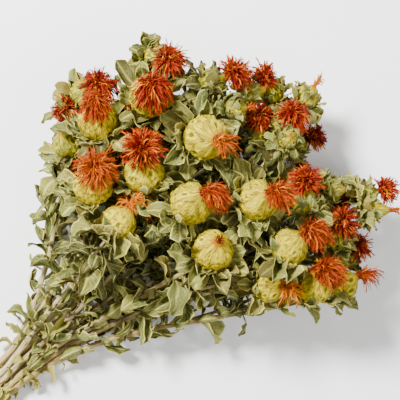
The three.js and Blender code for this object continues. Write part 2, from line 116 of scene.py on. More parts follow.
# Name, row, place in the row, and heads
SPRAYS = [
    ("a", 0, 2, [
        head(205, 121, 80, 12, -13, 50, 1, full(-13, 50, 16.5)),
        head(186, 111, 70, 9, 82, 45, 0.45, full(100, 45, 13.5)),
        head(168, 102, 76, 12, 70, 40, 0.35, None, bow=(-8, 14, 0)),
        head(205, 84, 11.5, 12.3, 50, -8, 0.4, full(50, 0, 11))]),
    ("b", 2, 2, [
        head(264, 103, 75, 11, -45, 58, 1, full(-60, 45, 15)),
        head(198, 97, 98, 15.5, 47, 50, 0.4, fan(-133, 60, 18))]),
    ("c", 1, 1.5, [
        head(241, 82, 104, 17, 30, 72, 1, full(-133, 60, 17.5)),
        head(218, 74, 68, 9, 60, 50, 0.4, full(30, 50, 15))]),
    ("d", 2, 1, [
        head(196, 42, 102, 15.5, 47, 42, 1, full(47, 42, 18)),
        head(161, 62, 102, 15, 33, 53, 0.35, full(20, 60, 17.5)),
        head(156, 28, 100, 14, 11, 16, 0.28, full(11, 30, 15))]),
    ("e", 0, 1, [
        head(284, 59, 84, 11, -18, 12, 1, full(-18, 12, 15)),
        head(302, 33, 70, 9, -29, 5, 0.6, None, neck=BUD),
        head(282, 31, 86, 9.5, -33, 15, 0.53, wisp(-33, 15, 7)),
        head(262, 58, 10.4, 11.2, 20, -5, 0.35, full(20, 5, 11))]),
    ("f", 1, 0.5, [
        head(250, 30, 112, 17, -60, 61, 1, fan(-58, 35, 16)),
        head(316, 22, 56, 10, 77, 40, 0.5, full(77, 40, 13))]),
    ("g", 2, 0, [
        head(207, 1, 114, 16, -5, 44, 1, fan(-60, 25, 18)),
        head(250, -1, 82, 8.5, -12, 15, 0.5, None, neck=BUD)]),
    ("h", 0, 0, [
        head(334, 0, 54, 10, 12, 15, 1, wisp(12, 15, 10)),
        head(302, -4, 70, 11, 10, 55, 0.55, full(0, 50, 16)),
        head(287, 5, 62, 9, 57, 45, 0.5, full(70, 45, 14)),
        head(236, 12, 11.5, 12.3, -10, -12, 0.35, wisp(-10, 10, 12))]),
    ("i", 1, -0.5, [
        head(246, -32, 110, 15.5, -12, 54, 1, fan(-52, 35, 17)),
        head(296, -14, 98, 7.5, 2, 60, 0.6, None)]),
    ("j", 2, -1, [
        head(195, -37, 106, 16, 18, 60, 1, wisp(32, 40, 12)),
        head(302, -23, 48, 9, -16, 20, 0.45, full(-16, 20, 12))]),
    ("k", 0, -1, [
        head(273, -60, 92, 11, 50, 28, 1, full(50, 28, 15)),
        head(296, -67, 72, 8.5, -43, 8, 0.6, None, neck=BUD),
        head(282, -77, 50, 8.5, -13, 20, 0.5, full(-13, 20, 11)),
        head(276, -36, 10, 10.8, -15, 0, 0.35, full(-15, 5, 11))]),
    ("l", 1, -1.5, [
        head(240, -76, 98, 14.5, 5, 27, 1, fan(-60, 25, 19)),
        head(207, -89, 80, 12.5, -38, 40, 0.45, full(-38, 40, 16))]),
    ("m", 0, -2, [
        head(271, -97, 74, 10.5, 27, 40, 1, full(27, 40, 14.5)),
        head(316, -91, 48, 9.5, -26, 10, 0.5, full(-26, 10, 12)),
        head(308, -101, 66, 9, -41, 5, 0.6, wisp(-41, 5, 6), neck=FLASK),
        head(225, -68, 11.5, 12.3, -35, -5, 0.35, fan(-35, 5, 13))]),
    ("n", 2, -2, [
        head(233, -113, 84, 14, 30, 45, 1, fan(-53, 35, 20)),
        head(269, -115, 52, 9.5, 2, 45, 0.45, full(2, 45, 13)),
        head(251, -129, 64, 13, -13, 5, 0.5, fan(-68, 5, 15))]),
]

# Seeded draws between 0 and 1, the same as in the CAD model

WORD = 0xFFFFFFFF


def seeded_random(seed):
    state = seed

    def draw():
        nonlocal state
        state = (state + 0x6D2B79F5) & WORD
        mixed = ((state ^ (state >> 15)) * (state | 1)) & WORD
        mixed ^= (mixed + (((mixed ^ (mixed >> 7)) * (mixed | 61)) & WORD)) & WORD
        return (mixed ^ (mixed >> 14)) / 2 ** 32

    return draw


def between(random, limits):
    return limits[0] + (limits[1] - limits[0]) * random()


def lerp(a, b, t):
    return (1 - t) * a + t * b


def around(side, upright, turn):
    """The way at an angle, or at an array of them, from one way towards another."""
    return np.cos(turn)[..., None] * side + np.sin(turn)[..., None] * upright


def spoke_at(axis, turn):
    """The way outward from an axis at an angle round it."""
    level = unit(np.cross(UP, axis))
    return around(level, np.cross(axis, level), turn)


def ring_around(middle, axis, radius, count, twist=0.0):
    return middle + radius * spoke_at(axis, (np.arange(count) + twist) * TURN / count)


# Room already taken, as balls. Each has a middle, a radius and its owner's number. Blades and
# florets are supple: what is grown later may come closer to them.

MOST_BALLS = 60000
taken = np.zeros((MOST_BALLS, 4))
taken_by = np.zeros(MOST_BALLS, int)
supple = np.zeros(MOST_BALLS, bool)
owners = {}
supple_owners = set()
filled = 0


def owner_number(*owner):
    number = owners.setdefault(owner, len(owners))
    if owner[0] in ("leaf", "collar", "tuft"):
        supple_owners.add(number)
    return number


def claim(at, radius, owner):
    global filled
    end = filled + len(radius)
    taken[filled:end, :3] = at
    taken[filled:end, 3] = radius
    taken_by[filled:end] = owner
    supple[filled:end] = owner in supple_owners
    filled = end


def is_clear(at, radius, may_touch=(), room=CLEARANCE, supple_room=None):
    if np.any(at[:, 2] <= radius):
        return False
    middle = at[len(at) >> 1]
    reach = np.max(np.linalg.norm(at - middle, axis=1) + radius) + room
    gap = taken[:filled, :3] - middle
    near = np.einsum("ij,ij->i", gap, gap) < (reach + taken[:filled, 3]) ** 2
    near = np.nonzero(near)[0]
    near = near[~np.isin(taken_by[near], may_touch)]
    if not len(near):
        return True
    least = taken[near, 3] + (room if supple_room is None
                              else np.where(supple[near], supple_room, room))
    apart = np.linalg.norm(at[:, None] - taken[near, :3][None], axis=2)
    return bool(np.all(apart > radius[:, None] + least[None]))


# Blades

LEAF_OUTLINE = ((0, 0.1), (0.5, 0.5), (1, 0.2))
BRACT_OUTLINE = ((0, 0.1), (0.42, 0.48), (0.95, 0.36))
ROW_SPACING = 4
BALL_RADIUS = 1.2
BALL_SPREAD = 0.72
FOOT_SHARE = 0.1

# Between a dark blade, 0, and a withered one, 1
# The darkest tints: the tone of dark shreds, and painted shade on blades in shaded places
DARK_AND_SHADED_TINTS = (0, 0.12)
WITHERED_TINTS = (0.84, 1)
ALL_TINTS = (0, 1)


def grown(root, spoke, axis, angle, tints=ALL_TINTS, **form):
    """A blade that leaves its root along the spoke, lifted by an angle towards the axis."""
    return Thing(root=root, way=spoke * math.cos(angle) + axis * math.sin(angle),
                 face=axis * math.cos(angle) - spoke * math.sin(angle), tints=tints, **form)


def blade_points(blade, share, side, lift):
    """Points on a blade at arrays of shares along it, distances aside and heights above it."""
    angle = blade.curl * share
    along = np.sin(angle) / blade.curl * blade.length - lift * np.sin(angle)
    rise = (1 - np.cos(angle)) / blade.curl * blade.length + lift * np.cos(angle)
    across = np.cross(blade.face, blade.way)
    return (blade.root + np.multiply.outer(along, blade.way)
            + np.multiply.outer(rise, blade.face) + np.multiply.outer(side, across))


def blade_balls(blade, start):
    shares, halves = np.array(blade.outline).T
    rows = math.ceil(blade.length / ROW_SPACING)
    share = lerp(start, shares[-1], np.arange(rows + 1) / rows)
    half = np.interp(share, shares, halves) * blade.breadth
    side = np.array([-BALL_SPREAD, 0, BALL_SPREAD])
    at = blade_points(blade, np.repeat(share, 3), np.outer(half, side).ravel(),
                      np.tile(side * blade.wave[1], rows + 1))
    return at, np.repeat(BALL_RADIUS + half * (1 - BALL_SPREAD), 3)


def footing(low, high, side, centre, axis):
    following = (side + 1) % len(low)
    root = (low[side] + low[following] + high[side] + high[following]) / 4
    spoke = root - centre
    return root, unit(spoke - axis * (spoke @ axis))


# Heads

BIG_GLOBE = 12
BASE_ANGLE = math.radians(42)
SCALE_RELIEF = 0.035
BRACT_CURL = 1.1
BRACT_SLOPE = (0, 0.3)
BRACT_SIZE = (0.9, 1.15)
BRACT_WAVE = (-0.06, 0.06)
BRACT_RISES = (0, -0.4, 0.1, -0.8)
COLLAR_SHARE = 0.3


def neck_of(flower):
    return flower.middle + flower.way * flower.radius * flower.neck


def base_rings(flower):
    radius, way = flower.radius, flower.way
    sides = 10 if radius > BIG_GLOBE else 8
    return [ring_around(flower.middle + way * (shift - radius * math.cos(BASE_ANGLE)), way,
                        radius * math.sin(BASE_ANGLE), sides) for shift in (0, BLADE_THICKNESS)]


def globe_balls(flower):
    middle, radius, way = flower.middle, flower.radius, flower.way
    return (np.array([middle, middle + way * radius * (flower.neck - 0.27)]),
            np.array([radius * (1 + SCALE_RELIEF), radius * 0.36]))


def bracts(spray, flower, random):
    low, high = base_rings(flower)
    may_touch = (flower.globe, flower.collar, spray.stem)
    blades = []
    for side in range(0, len(low), 2):
        foot = footing(low, high, side, flower.middle, flower.way)
        slope = between(random, BRACT_SLOPE)
        length = flower.radius * BRACT_LENGTH * between(random, BRACT_SIZE)
        wave = [flower.radius * between(random, BRACT_WAVE) for _ in range(2)]
        for rise in BRACT_RISES:
            blade = grown(*foot, flower.way, slope + rise, outline=BRACT_OUTLINE, length=length,
                          breadth=length * BRACT_BREADTH, curl=BRACT_CURL, wave=wave)
            if is_clear(*blade_balls(blade, COLLAR_SHARE), may_touch):
                claim(*blade_balls(blade, FOOT_SHARE), flower.collar)
                blades.append(blade)
                break
    return blades


# Tufts: the aims and lengths of the CAD model's spikes

BIG_TUFT = 14
CORE_SHARE = 0.28
CORE_RINGS = ((-1.2, 0.4), (0, 1), (0.65, 0.7))
STUB = 1
SPIKE_SLANT = (0.4, 1.4)
SPIKE_LENGTH = (0.8, 1.1)
SPIKE_COVER = np.array([0.3, 0.5, 0.7, 0.85, 1])


def lean_of(aims, brush, focus):
    return ((1 + aims @ brush.longest) / 2) ** focus


def lean_length(aims, brush):
    return brush.reach * lerp(brush.shortest, 1, lean_of(aims, brush, brush.focus))


def tuft_spikes(flower, random):
    way, brush = flower.way, flower.tuft
    sides = 6 if brush.reach > BIG_TUFT else 5
    core = brush.reach * CORE_SHARE
    middle = neck_of(flower) + way * (CLEARANCE - CORE_RINGS[0][0] * core)
    rings = [ring_around(middle + way * height * core, way, radius * core, sides, row / 2)
             for row, (height, radius) in enumerate(CORE_RINGS)]
    points = np.vstack([*rings, middle + way * core])
    balls = [(middle, core)]
    spikes = []

    def spike(*facet):
        shares = np.array([between(random, SPIKE_SLANT) for _ in facet])
        foot = (points[list(facet)] - middle).T @ (shares / shares.sum())
        start = math.sqrt(foot @ foot)
        aim = foot / start
        wanted = lean_length(aim, brush) * between(random, SPIKE_LENGTH)
        length = wanted

        def cover():
            at = middle + np.outer(lerp(start, length, SPIKE_COVER), aim)
            return at, CLEARANCE + CORE_SHARE * core * (1 - SPIKE_COVER)

        while length > start + STUB and not is_clear(*cover()):
            length -= 1
        if length > start + STUB:
            balls.extend(zip(*cover()))
        spikes.append((aim, length / wanted))

    crown = 3 * sides
    for k in range(sides):
        after = (k + 1) % sides
        base, girdle, shoulder = [(first + k, first + after) for first in (0, sides, 2 * sides)]
        spike(base[1], girdle[1], girdle[0])
        spike(*girdle, shoulder[0])
        spike(girdle[1], shoulder[1], shoulder[0])
        spike(*shoulder, crown)
    claim(np.array([at for at, _ in balls]), np.array([radius for _, radius in balls]),
          owner_number("tuft", len(owners)))
    aims, kept = map(np.array, zip(*spikes))
    return Thing(middle=middle, aims=aims, kept=kept, flower=flower)


# Stems

MAIN_STEM = dict(radii=(STEM_RADIUS, TWIG_RADIUS), sides=6,
                 nodes=(0.13, 0.26, 0.39, 0.52, 0.65, 0.78))
TWIG = dict(radii=(TWIG_RADIUS, TIP_RADIUS), sides=5, nodes=(0.35, 0.72), cut=0)
BENDS = (0, 7, 14, 21, 28)
BEND_WAYS = 8
START_SHARE = 0.35
END_SHARE = 0.3
END_REACH = 30
SUNK = 0.6
BUNDLED = 35
LEANING = 0.15
BALL_STEP = 1.5
BALL_MARGIN = 0.1
LENGTH_STEPS = 200
TANGENT_STEP = 0.0001


def cubic_weights(t):
    t = np.asarray(t, float)
    return np.stack([(1 - t) ** 3, 3 * (1 - t) ** 2 * t, 3 * (1 - t) * t ** 2, t ** 3], -1)


class Curve:
    """A cubic curve with four control points."""

    def __init__(self, *controls):
        self.controls = np.array(controls)
        line = self.points(np.arange(LENGTH_STEPS + 1) / LENGTH_STEPS)
        self.length = float(np.linalg.norm(np.diff(line, axis=0), axis=1).sum())

    def points(self, t):
        return cubic_weights(t) @ self.controls

    def tangent(self, t):
        ends = np.clip([t - TANGENT_STEP, t + TANGENT_STEP], 0, 1)
        return unit(np.subtract(*self.points(ends)[::-1]))


def stem_curve(start, start_way, flower, bow):
    end = flower.middle - flower.way * SUNK * flower.radius
    span = math.dist(start, end)
    return Curve(start, start + start_way * span * START_SHARE + bow,
                 end - flower.way * min(span * END_SHARE, END_REACH) + bow, end)


def stem_balls(curve, radii, start=-math.inf):
    steps = math.ceil(curve.length / BALL_STEP)
    t = np.arange(steps + 1) / steps
    at, radius = curve.points(t), BALL_MARGIN + lerp(*radii, t)
    kept = at[:, 0] > start
    return at[kept], radius[kept]


def clear_curve(start, start_way, flower, radii, start_x, may_touch):
    for size in BENDS:
        for k in range(BEND_WAYS if size else 1):
            angle = k * TURN / BEND_WAYS
            x, y, z = flower.bow
            bow = np.array([x, y + size * math.cos(angle), z + size * math.sin(angle)])
            curve = stem_curve(start, start_way, flower, bow)
            if is_clear(*stem_balls(curve, radii, start_x), may_touch):
                return curve
    raise ValueError("a stem finds no clear way to its head")


def node_rings(stem, node):
    curve = stem.curve
    return [ring_around(curve.points(t), curve.tangent(t), lerp(*stem.radii, t), stem.sides)
            for t in (node, node + BLADE_THICKNESS / curve.length)]


GOLDEN_TURN = (3 - math.sqrt(5)) / 2
LEAVES_AT_NODE = 2
LEAF_SIZES = (1, 0.75)
LEAF_SPREADS = (1, 0.6, 1.6)
LEAF_ANGLE = (0.7, 1.2)
LEAF_CURL = (0.5, 1.4)
LEAF_WAVE = ((-1.5, 1.5), (-1, 1))
SHARE_BENT_BACK = 0.65
FREE_OF_LEAVES = 0.2
FREE_OF_STEM = 0.35


def leaf_is_clear(blade, spray, **options):
    return (is_clear(*blade_balls(blade, FREE_OF_LEAVES), (spray.stem,), **options)
            and is_clear(*blade_balls(blade, FREE_OF_STEM), **options))


def leaves(spray, stem, random):
    curve, sides = stem.curve, stem.sides
    blades = []
    for index, node in enumerate(stem.nodes):
        low, high = node_rings(stem, node)
        centre, axis = curve.points(node), curve.tangent(node)
        spin = index * GOLDEN_TURN + random()
        at_node = []
        for count in range(LEAVES_AT_NODE):
            angle = between(random, LEAF_ANGLE)
            length = between(random, LEAF_LENGTH)
            curl = (-1 if random() < SHARE_BENT_BACK else 1) * between(random, LEAF_CURL)
            wave = [between(random, limits) for limits in LEAF_WAVE]
            tries = ((size, shift, spread) for size in LEAF_SIZES for shift in range(sides)
                     for spread in LEAF_SPREADS)
            for size, shift, spread in tries:
                side = math.floor((spin + count / LEAVES_AT_NODE) * sides + shift) % sides
                if any(abs(other - side) % (sides - 1) < 2 for other in at_node):
                    continue
                foot = footing(low, high, side, centre, axis)
                blade = grown(*foot, axis, math.pi / 2 - angle * spread, outline=LEAF_OUTLINE,
                              length=length * size, breadth=length * size * LEAF_BREADTH,
                              curl=curl, wave=wave)
                if leaf_is_clear(blade, spray):
                    claim(*blade_balls(blade, FOOT_SHARE), spray.leaf)
                    at_node.append(side)
                    blades.append(blade)
                    break
    return blades


# Placement, in the CAD model's order

sprays = []
for index, (name, row, y, heads) in enumerate(SPRAYS):
    spray = Thing(name=name, index=index, heads=heads, stems=[],
                  foot=np.array([0, y * STEM_PITCH, FIRST_ROW + row * ROW_RISE]),
                  stem=owner_number("stem", name), leaf=owner_number("leaf", name))
    for k, flower in enumerate(heads):
        flower.globe = owner_number("globe", name, k)
        flower.collar = owner_number("collar", name, k)
        claim(*globe_balls(flower), flower.globe)
    sprays.append(spray)


def draws(spray, item, kind):
    return seeded_random(100 * spray.index + 10 * item + kind)


tufts = [tuft_spikes(flower, draws(spray, k, 1)) for spray in sprays
         for k, flower in enumerate(spray.heads) if flower.tuft]


def add_stem(spray, stem):
    claim(*stem_balls(stem.curve, stem.radii), spray.stem)
    spray.stems.append(stem)


for spray in sprays:
    flower = spray.heads[0]
    start_way = unit(FORWARD + LEANING * unit(flower.middle - spray.foot))
    curve = clear_curve(spray.foot, start_way, flower, MAIN_STEM["radii"], BUNDLED,
                        (flower.globe,))
    add_stem(spray, Thing(**MAIN_STEM, curve=curve, cut=between(draws(spray, 0, 2), CUT_LENGTH)))

for spray in sprays:
    main = spray.stems[0].curve
    for flower in spray.heads[1:]:
        start = main.points(flower.fork)
        start_way = unit(unit(flower.middle - start) + main.tangent(flower.fork))
        curve = clear_curve(start, start_way, flower, TWIG["radii"], -math.inf,
                            (flower.globe, spray.stem))
        add_stem(spray, Thing(**TWIG, curve=curve))

for spray in sprays:
    for k, flower in enumerate(spray.heads):
        flower.bracts = bracts(spray, flower, draws(spray, k, 3))

for spray in sprays:
    for k, stem in enumerate(spray.stems):
        stem.leaves = leaves(spray, stem, draws(spray, k, 4))


# Foliage that only this script has: leaves between the CAD model's own, withered scraps on the
# bare stems, and smaller bracts round each globe. Each one is clear of what is there already.

chance = np.random.RandomState(7)
uniform, normal, choice = chance.uniform, chance.normal, chance.choice
EITHER_WAY = (-1, 1)

# How far a blade may stand out of the CAD model's box, and the sides of the bunch in plan
PROUD = 5
BOX_LOW = np.array(cad_box[0]) * MILLIMETRES + MIDDLE - PROUD
BOX_HIGH = np.array(cad_box[1]) * MILLIMETRES + MIDDLE + PROUD
OUTER_HALF = 0.5
BUNDLE_SIDE = 17
LOWER_EDGE = (-0.54, -2)
UPPER_EDGE = (0.97, -13)
EDGES_END = 235


def inside_box(blade):
    """Whether a blade keeps to the bunch, whose two sides spread along straight lines."""
    at, _ = blade_balls(blade, OUTER_HALF)
    along, across = at[:, 0], at[:, 1]
    beside = ((across < np.minimum(-BUNDLE_SIDE, np.polyval(LOWER_EDGE, along)))
              | (across > np.maximum(BUNDLE_SIDE, np.polyval(UPPER_EDGE, along))))
    return bool(np.all(at > BOX_LOW) and np.all(at < BOX_HIGH)
                and not np.any(beside & (along < EDGES_END)))


# Added leaves: their places along a stem, then their sizes and growth. Some are narrow shreds.
PLACE_SHIFT = (-2, 2)
BARE_START = 34
BARE_END = 6
FILL_SPACING = 5.8
FILL_FOOT = 0.9
FILL_TRIES = 10
FILL_SHRINK = 0.05
FILL_ROOM = {"room": -0.6, "supple_room": -2.3}
FILL_LENGTH = (14, 33)
FILL_BREADTH = (0.42, 0.8)
FILL_ANGLE = (0.5, 1.6)
FILL_CURL = (0.5, 2.2)
FILL_WAVE = ((-2.5, 2.5), (-2, 2))
SHRED_SHARE = 0.36
SHRED_BREADTH = 0.42
DARK_SHREDS = 0.6


def fill_leaf(centre, axis, foot, length):
    spoke = spoke_at(axis, uniform(0, TURN))
    angle = math.pi / 2 - uniform(*FILL_ANGLE)
    narrow = SHRED_BREADTH if uniform() < SHRED_SHARE else 1
    return grown(centre + spoke * foot, spoke, axis, angle, outline=LEAF_OUTLINE, length=length,
                 breadth=length * uniform(*FILL_BREADTH) * narrow,
                 curl=choice(EITHER_WAY) * uniform(*FILL_CURL) / narrow ** 0.5,
                 tints=DARK_AND_SHADED_TINTS if narrow < 1 and uniform() < DARK_SHREDS else ALL_TINTS,
                 wave=[uniform(*limits) for limits in FILL_WAVE])


def fill_leaves(spray, stem):
    found = []
    for place in np.arange(BARE_START, stem.curve.length - BARE_END, FILL_SPACING):
        t = (place + uniform(*PLACE_SHIFT)) / stem.curve.length
        centre, axis = stem.curve.points(t), stem.curve.tangent(t)
        foot = FILL_FOOT * lerp(*stem.radii, t)
        for _ in range(LEAVES_AT_NODE):
            length = uniform(*FILL_LENGTH)
            for k in range(FILL_TRIES):
                blade = fill_leaf(centre, axis, foot, length * (1 - FILL_SHRINK * k))
                if leaf_is_clear(blade, spray, **FILL_ROOM) and inside_box(blade):
                    claim(*blade_balls(blade, FOOT_SHARE), spray.leaf)
                    found.append(blade)
                    break
    return found


# Withered scraps: first place, last place and spacing, then their sizes and growth
SCRAP_PLACES = (-34, 40, 3.2)
SCRAP_FOOT = 0.8
SCRAP_FREE = 0.6
SCRAP_ROOM = -1.2
SCRAP_LENGTH = (7, 15)
SCRAP_BREADTH = (0.4, 0.8)
SCRAP_ANGLE = (0.1, 0.9)
SCRAP_CURL = (1.5, 3.2)
SCRAP_WAVE = (-2, 2)


def stem_line(curve, t):
    """Points on a stem at shares of its curve; those below 0 lie on its straight start."""
    straight = np.multiply.outer(np.minimum(t, 0) * curve.length, FORWARD)
    return curve.points(np.maximum(t, 0)) + straight


def scraps(spray, stem):
    """Tightly curled scraps on the bare part of a stem."""
    found = []
    for place in np.arange(*SCRAP_PLACES):
        t = (place + uniform(*PLACE_SHIFT)) / stem.curve.length
        axis = stem.curve.tangent(max(t, 0))
        spoke = spoke_at(axis, uniform(0, TURN))
        length = uniform(*SCRAP_LENGTH)
        blade = grown(stem_line(stem.curve, t) + spoke * stem.radii[0] * SCRAP_FOOT, spoke, axis,
                      math.pi / 2 - uniform(*SCRAP_ANGLE), tints=WITHERED_TINTS,
                      outline=LEAF_OUTLINE, length=length,
                      breadth=length * uniform(*SCRAP_BREADTH),
                      curl=choice(EITHER_WAY) * uniform(*SCRAP_CURL),
                      wave=uniform(*SCRAP_WAVE, 2))
        if is_clear(*blade_balls(blade, SCRAP_FREE), (spray.stem,), room=SCRAP_ROOM):
            found.append(blade)
    return found


# Rows of added bracts: height and distance from the axis in radii, lengths, and first rise
BRACT_ROWS = (
    (-0.6, 0.74, (1.0, 1.35), 0.4),
    (-0.7, 0.64, (1.45, 1.9), -0.05),
    (-0.92, 0.3, (1.4, 1.8), -0.3),
)
SMALL_HEAD_ROWS = (
    (-0.3, 0.94, (0.9, 1.3), 1.2),
    (0.1, 0.98, (0.7, 1.0), 1.4),
)
ROW_BRACTS = 7
ROW_SHIFT = (-0.25, 0.25)
ROW_RISES = np.array([0, -0.3, 0.25, -0.6])
ROW_RISE_SHIFT = (-0.15, 0.15)
ROW_BREADTH = (0.5, 0.76)
ROW_CURL = (0.2, 1.1)
ROW_CURL_WAYS = (1, 1, -1)
ROW_WAVE = (-0.1, 0.1)
ROW_FREE = 0.35
ROW_ROOM = {"room": -0.6, "supple_room": -3.0}
ROW_SHRINK = 0.92


def fill_bracts(spray, flower):
    radius, way = flower.radius, flower.way
    touching = (flower.globe, flower.collar, spray.stem)
    found = []
    rows = BRACT_ROWS + (SMALL_HEAD_ROWS if radius < BIG_GLOBE else ())
    for row, (height, out, sizes, first_rise) in enumerate(rows):
        for k in range(ROW_BRACTS):
            spoke = spoke_at(way, (k + row / 2 + uniform(*ROW_SHIFT)) * TURN / ROW_BRACTS)
            length = radius * uniform(*sizes)
            for rise in first_rise + ROW_RISES + uniform(*ROW_RISE_SHIFT):
                root = flower.middle + radius * (height * way + out * spoke)
                blade = grown(root, spoke, way, rise, outline=BRACT_OUTLINE, length=length,
                              breadth=length * uniform(*ROW_BREADTH),
                              curl=uniform(*ROW_CURL) * choice(ROW_CURL_WAYS),
                              wave=radius * uniform(*ROW_WAVE, 2))
                if (is_clear(*blade_balls(blade, ROW_FREE), touching, **ROW_ROOM)
                        and inside_box(blade)):
                    claim(*blade_balls(blade, FOOT_SHARE), flower.collar)
                    found.append(blade)
                    break
                length *= ROW_SHRINK
    return found


for spray in sprays:
    for flower in spray.heads:
        flower.bracts += fill_bracts(spray, flower)
for spray in sprays:
    spray.scraps = scraps(spray, spray.stems[0])
    for stem in spray.stems:
        stem.leaves += fill_leaves(spray, stem)

# Fine skins. A piece gathers points, faces and two sets of numbers for its materials: "paint"
# holds a tint of its own and three masks or places along, and "grain" the way that streaks run.

GREEN, GLOBE, WOOD = range(3)

# Points lower than the second height are pressed together above the first
PRESSED = (0.15, 0.8)
SHARP_ANGLE = math.radians(60)
GRAIN_SHIFT = (0, 50)


def units(vectors):
    return vectors / (np.linalg.norm(vectors, axis=-1, keepdims=True) + 1e-9)


def stacked(*values):
    """Arrays that are spread over one another and stacked along a new last axis."""
    return np.stack(np.broadcast_arrays(*values), -1)


def linked(name, data):
    thing = bpy.data.objects.new(name, data)
    bpy.context.scene.collection.objects.link(thing)
    return thing


class Skin:
    def __init__(self):
        self.points, self.paint, self.grain, self.faces, self.kinds = [], [], [], [], []
        self.count = 0

    def add(self, points, paint, grain, quads=(), triangles=(), kind=0):
        for faces, size in ((quads, 4), (triangles, 3)):
            faces = np.asarray(faces, int).reshape(-1, size) + self.count
            self.faces += faces.tolist()
            self.kinds += [kind] * len(faces)
        self.points.append(points.reshape(-1, 3))
        self.paint.append(np.broadcast_to(paint, (*points.shape[:-1], 4)).reshape(-1, 4))
        self.grain.append(np.broadcast_to(grain, points.shape).reshape(-1, 3))
        self.count += len(self.points[-1])

    def piece(self, name, materials):
        points = np.vstack(self.points) - MIDDLE
        low, span = points[:, 2] < PRESSED[1], PRESSED[1] - PRESSED[0]
        points[low, 2] = PRESSED[0] + span * np.exp((points[low, 2] - PRESSED[1]) / span)
        mesh = bpy.data.meshes.new(name)
        mesh.from_pydata(points / MILLIMETRES, [], self.faces)
        mesh.polygons.foreach_set("material_index", self.kinds)
        for material in materials:
            mesh.materials.append(material)
        for key, kind, field, rows in (("paint", "FLOAT_COLOR", "color", self.paint),
                                       ("grain", "FLOAT_VECTOR", "vector", self.grain)):
            layer = mesh.attributes.new(key, kind, "POINT")
            layer.data.foreach_set(field, np.vstack(rows).astype(np.float32).ravel())
        mesh.shade_smooth()
        mesh.set_sharp_from_angle(angle=SHARP_ANGLE)
        return linked(name, mesh)


def grid_quads(rows, columns, closed=False):
    """Quads over a grid of points; a closed one joins its last column to its first."""
    grid = np.arange(rows * columns).reshape(rows, columns)
    if closed:
        grid = np.hstack([grid, grid[:, :1]])
    return stacked(grid[:-1, :-1], grid[:-1, 1:], grid[1:, 1:], grid[1:, :-1]).reshape(-1, 4)


def fan_triangles(ring, centre):
    return stacked(ring, np.roll(ring, -1), centre)


# Fine blades: rows and columns of a long one, and of one no longer than SHORT_BLADE

LONG_GRID = (9, 5)
SHORT_GRID = (7, 4)
SHORT_BLADE = 16
ROWS_TO_TIP = 1.35
THIN = 0.42
THIN_RIM = 0.55

# Least widths near the foot and at the tip, then the notches of the rim, in half breadths
FOOT_WIDTH = 0.16
TIP_WIDTH = 0.04
NOTCH_DEPTH = (0.03, 0.13)
NOTCH_RATE = 23

# How far a blade bows across in radians, folds, ruffles at its rims, crumples and strays
BOW = (0.25, 1.5)
BOW_SHARES = (0.35, 0.65)
FOLD = (0, 0.9)
RUFFLE = (0.1, 0.42)
RUFFLE_WAVES = (1.2, 2.8)
CRUMPLE = (0.012, 0.045)
STRAY = 0.06
PHASE = (0, 6)

LEAF_SHAPE = {"roundness": 0.66, "belly": 0.9}
BRACT_SHAPE = {"roundness": 0.5, "belly": 1.3}
LEAF_DRY = (0, 0.35)
SCRAP_DRY = (0.6, 1)
BRACT_DRY = (0.05, 0.6)

# Where blades get painted shade, by taking the darkest tints: a middle and a radius in plan
SHADE_PAINTED_PLACES = ((273, 63, 24), (272, -11, 14), (229, 71, 10), (127, 13, 16), (216, -57, 14))


def tint_limits(blade):
    x, y = blade.root[:2]
    shaded = any(math.hypot(x - at_x, y - at_y) < radius for at_x, at_y, radius in SHADE_PAINTED_PLACES)
    # Blades rooted in those places get the darkest tints: painted shade
    return DARK_AND_SHADED_TINTS if shaded and blade.tints == ALL_TINTS else blade.tints


def half_width(share, breadth, roundness, belly):
    width = np.sin(math.pi * share ** belly) ** roundness
    width = np.maximum(width, FOOT_WIDTH * (1 - share) + TIP_WIDTH)
    notch = 1 + uniform(*NOTCH_DEPTH) * np.sin(share * NOTCH_RATE + uniform(*PHASE))
    return 0.5 * breadth * width * notch


def blade_sheet(blade, share, t, half):
    """How far aside and above its plain curl each point of a blade's grid lies."""
    bow = uniform(*BOW) * choice(EITHER_WAY, p=BOW_SHARES)
    side = np.outer(half, np.sin(bow * t) / bow)
    lift = np.outer(half, (1 - np.cos(bow * t)) / bow)
    lift += np.outer(half * uniform(*FOLD), np.abs(t))
    lift += np.outer(np.interp(share, (0, 0.5, 1), (0, *blade.wave)), t)
    ruffle, waves = uniform(*RUFFLE) * half, uniform(*RUFFLE_WAVES)
    for edge in EITHER_WAY:
        swing = np.sin(TURN * (waves * share + uniform(0, 1)))
        lift += np.outer(ruffle * swing, np.clip(edge * t, 0, 1) ** 2)
    phase = uniform(*PHASE, 5)
    share = share[:, None]
    crumple = np.sin(share * 9 + t * phase[3] * 0.5 + phase[0]) * np.cos(t * 2.6 + phase[1])
    crumple += 0.7 * np.sin(share * 15 - t * 2.2 + phase[4])
    lift += blade.length * uniform(*CRUMPLE) * crumple * share
    side += STRAY * blade.length * np.sin(share * 3 + phase[2]) * share
    return side, lift


def add_blade(skin, blade, roundness, belly, dry):
    rows, columns = LONG_GRID if blade.length > SHORT_BLADE else SHORT_GRID
    share = 1 - (1 - np.linspace(0, 1, rows)) ** ROWS_TO_TIP
    t = np.linspace(-1, 1, columns)
    half = half_width(share, blade.breadth, roundness, belly)
    side, lift = blade_sheet(blade, share, t, half)
    thick = THIN / 2 * (1 - THIN_RIM * t ** 4)
    share = share[:, None]
    faces = blade_points(blade, share, side, np.stack([lift + thick, lift - thick]))
    paint = stacked(uniform(*tint_limits(blade)), np.abs(t), share, dry)
    grain = stacked(t * blade.breadth / 10, share * blade.length / 10, uniform(*GRAIN_SHIFT))
    size = rows * columns
    grid = np.arange(size).reshape(rows, columns)
    rim = np.concatenate([grid[0], grid[1:, -1], grid[-1, -2::-1], grid[-2:0:-1, 0]])
    after = np.roll(rim, -1)
    upper = grid_quads(rows, columns)
    edge = stacked(rim, rim + size, after + size, after)
    skin.add(faces, paint, grain, np.vstack([upper, upper[:, ::-1] + size, edge]), kind=GREEN)


